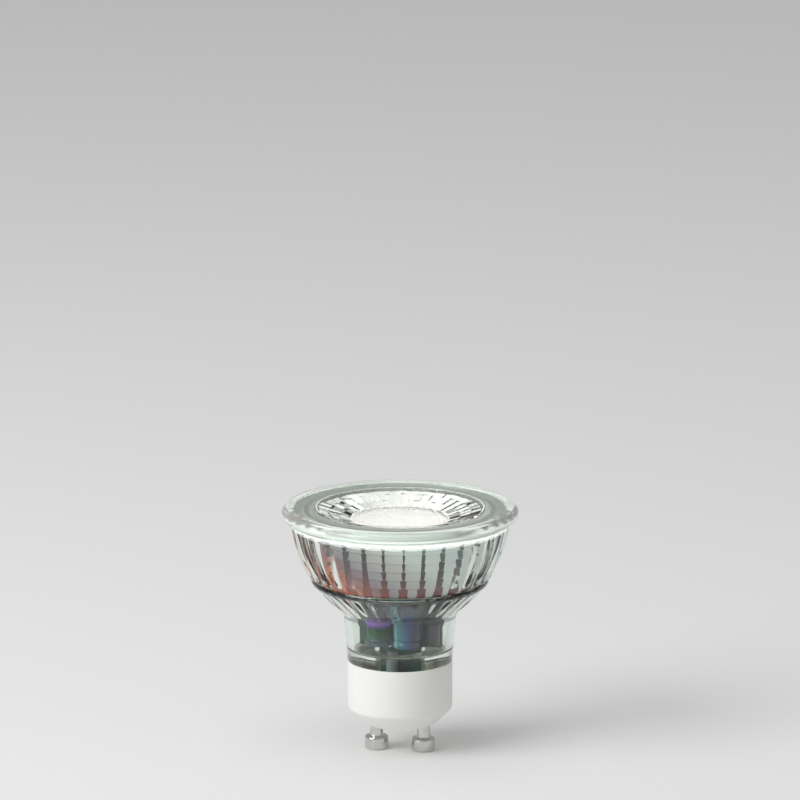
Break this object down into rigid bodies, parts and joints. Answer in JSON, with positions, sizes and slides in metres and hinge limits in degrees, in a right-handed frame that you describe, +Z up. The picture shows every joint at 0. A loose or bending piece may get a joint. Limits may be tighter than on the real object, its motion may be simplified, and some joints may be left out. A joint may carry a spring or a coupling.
{
  "type": "reflector lamp with a two-pin twist base",
  "caption": "Reeded glass reflector spotlight lamp with a front optic, an LED light source and driver inside, and a white base with two twist-lock pins.",
  "frame": {"origin": "on the lamp's axis, level with the undersides of the two pins that it stands on", "axes": "+Z up the lamp's axis towards the lit front; the two pins lie along X"},
  "size_m": [0.05, 0.05, 0.053],
  "materials": {
    "glass": "pressed clear glass with a thin reflecting film inside",
    "optic": "clear moulded acrylic",
    "base": "satin white moulding",
    "pin_metal": "bright nickel plate on turned brass",
    "reflector_film": "moulded plastic with a thin metal film",
    "adhesive": "clear cured silicone",
    "cement": "dull lamp cement",
    "light_board": "aluminium core with a dark solder mask",
    "substrate": "matt white",
    "dam": "white silicone",
    "phosphor": "yellow phosphor in silicone",
    "driver": "green solder mask on glass-fibre laminate",
    "black_body": "matt black moulding",
    "can_sleeve": "blue shrink sleeve",
    "small_can_sleeve": "black shrink sleeve",
    "ferrite": "ground ferrite",
    "copper": "enamelled copper wire",
    "film": "dipped epoxy",
    "varistor": "dipped orange-brown epoxy",
    "resistor_sleeve": "grey sleeve",
    "tin": "tinned metal",
    "lead_copper": "bare copper",
    "sleeve_white": "white silicone tube"
  },
  "bodies": {
    "root": {"contact_pin_left": "pin_metal", "contact_pin_right": "pin_metal", "base_cap": "base", "base_cement": "cement", "glass_reflector": "glass", "lens_adhesive_ring": "adhesive", "front_lens": "optic", "facet_reflector": "reflector_film", "led_board": "light_board", "led_substrate": "substrate", "led_dam": "dam", "led_phosphor": "phosphor", "driver_board": "driver", "electrolytic_capacitor": "can_sleeve", "output_capacitor": "small_can_sleeve", "inductor_core": "ferrite", "inductor_winding": "copper", "film_capacitor": "film", "varistor_disc": "varistor", "bridge_rectifier": "black_body", "output_diode": "black_body", "fusible_resistor": "resistor_sleeve", "driver_ic": "black_body", "smd_resistors": "black_body", "neutral_lead": "lead_copper", "neutral_lead_sleeve": "sleeve_white", "live_lead": "lead_copper", "live_lead_sleeve": "sleeve_white", "led_lead_negative": "tin", "led_lead_positive": "tin", "solder_joints": "tin"}
  },
  "joints": []
}
